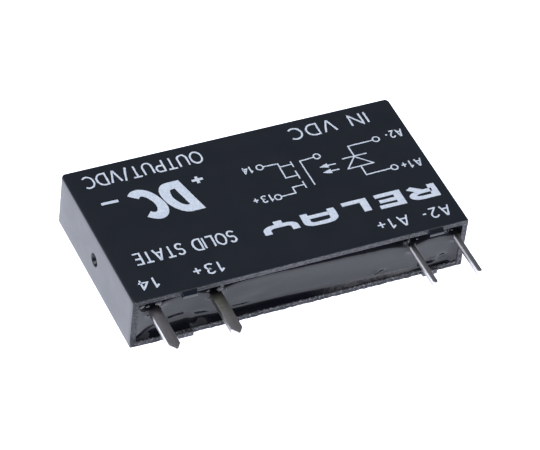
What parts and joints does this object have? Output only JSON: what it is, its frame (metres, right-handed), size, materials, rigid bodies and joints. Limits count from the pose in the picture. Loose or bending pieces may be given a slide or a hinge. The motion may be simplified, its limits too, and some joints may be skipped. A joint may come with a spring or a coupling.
{
  "type": "solid state relay",
  "caption": "Slim black potted relay block for a circuit board, with wide output pins and narrow input pins in a row along one long edge; a DC input switches a DC load.",
  "frame": {"origin": "centre of the plain large face that the relay lies on, at mid length and mid height of the case with its feet", "axes": "+X along the case, from the output pins to the input pins; -Y the way the pins point; +Z out of the marked face"},
  "size_m": [0.028, 0.0188, 0.0048],
  "materials": {
    "case_plastic": "satin black moulded thermoplastic",
    "potting": "glossy black cast resin with a meniscus",
    "tinned_pin": "dull tin plated copper strip",
    "solder": "satin solder",
    "board_laminate": "green solder mask on glass epoxy",
    "moulded_body": "matt black moulding compound",
    "tinned_lead": "matt tin plating",
    "resistor_chip": "white ceramic with tinned ends and a black glaze",
    "capacitor_chip": "tan ceramic with tinned ends",
    "marking_ink": "pale printed ink"
  },
  "bodies": {
    "root": {"housing": "case_plastic", "potting_compound": "potting", "circuit_board": "board_laminate", "pin_14": "tinned_pin", "pin_13_plus": "tinned_pin", "pin_a1_plus": "tinned_pin", "pin_a2_minus": "tinned_pin", "solder_14": "solder", "solder_13_plus": "solder", "solder_a1_plus": "solder", "solder_a2_minus": "solder", "mosfet_body": "moulded_body", "mosfet_drain_tab": "tinned_lead", "mosfet_gate_lead": "tinned_lead", "mosfet_source_lead": "tinned_lead", "coupler_body": "moulded_body", "coupler_lead_anode": "tinned_lead", "coupler_lead_cathode": "tinned_lead", "coupler_lead_collector": "tinned_lead", "coupler_lead_emitter": "tinned_lead", "driver_body": "moulded_body", "driver_lead_base": "tinned_lead", "driver_lead_emitter": "tinned_lead", "driver_lead_collector": "tinned_lead", "reverse_diode_body": "moulded_body", "reverse_diode_lead_inner": "tinned_lead", "reverse_diode_lead_outer": "tinned_lead", "clamp_diode_body": "moulded_body", "clamp_diode_strip_14": "tinned_lead", "clamp_diode_strip_13": "tinned_lead", "gate_resistor": "resistor_chip", "pull_down_resistor": "resistor_chip", "input_resistor_a": "resistor_chip", "input_resistor_b": "resistor_chip", "input_capacitor": "capacitor_chip"}
  },
  "joints": []
}
